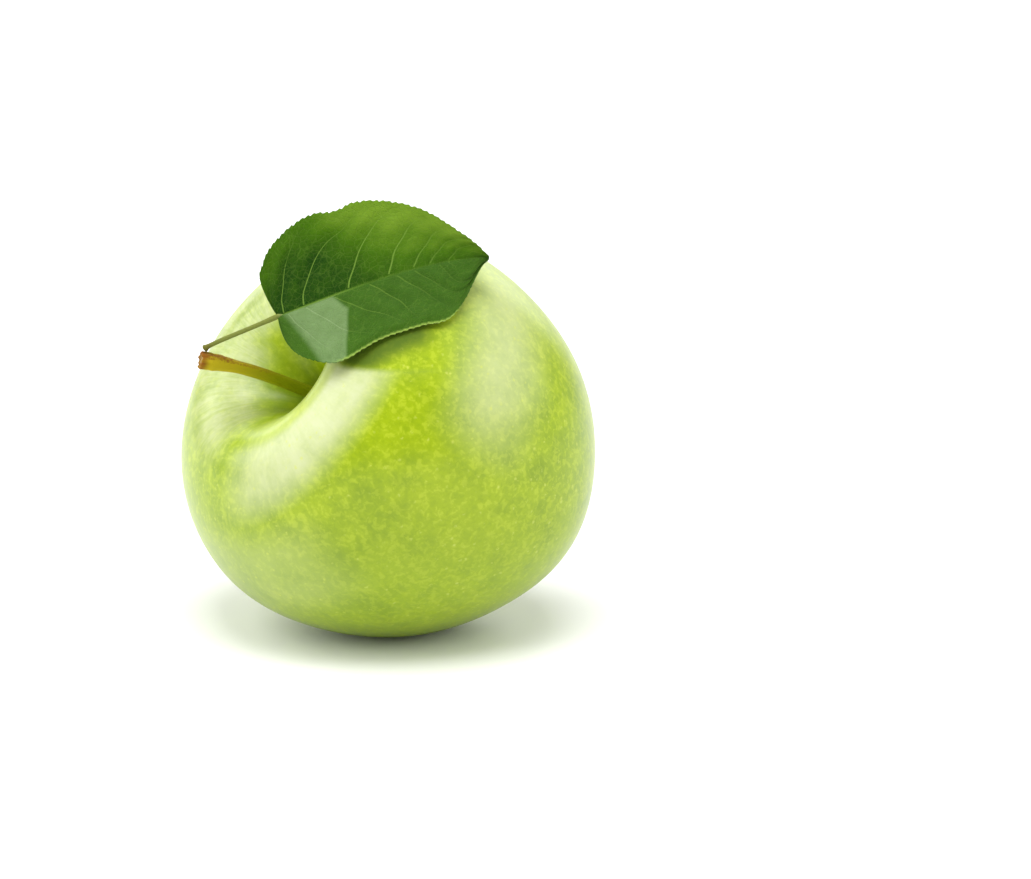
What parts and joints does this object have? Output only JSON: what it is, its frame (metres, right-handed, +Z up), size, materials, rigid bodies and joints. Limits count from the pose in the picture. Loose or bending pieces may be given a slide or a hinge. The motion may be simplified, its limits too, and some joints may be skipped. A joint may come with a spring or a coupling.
{
  "type": "apple",
  "caption": "Whole fresh green apple as picked, with its stem, a folded leaf and the dried flower in its basin, lying tilted on a small flat spot.",
  "frame": {"origin": "centre of the small flat spot that the fruit rests on", "axes": "+Z up from the resting surface; the stem end leans towards -X and -Y and the blossom end points down towards +X and +Y"},
  "size_m": [0.0757, 0.0734, 0.0819],
  "materials": {
    "skin": "waxy yellow-green apple skin with fine pale speckles",
    "stem": "ochre woody stem with a reddish brown cut end",
    "leaf": "deep green leaf with pale veins",
    "sepal": "dried brown-green sepal",
    "stamen": "dried dark brown stamens"
  },
  "bodies": {
    "root": {"fruit": "skin", "stem": "stem", "leaf": "leaf", "sepal_1": "sepal", "sepal_2": "sepal", "sepal_3": "sepal", "sepal_4": "sepal", "sepal_5": "sepal", "stamens": "stamen"}
  },
  "joints": []
}
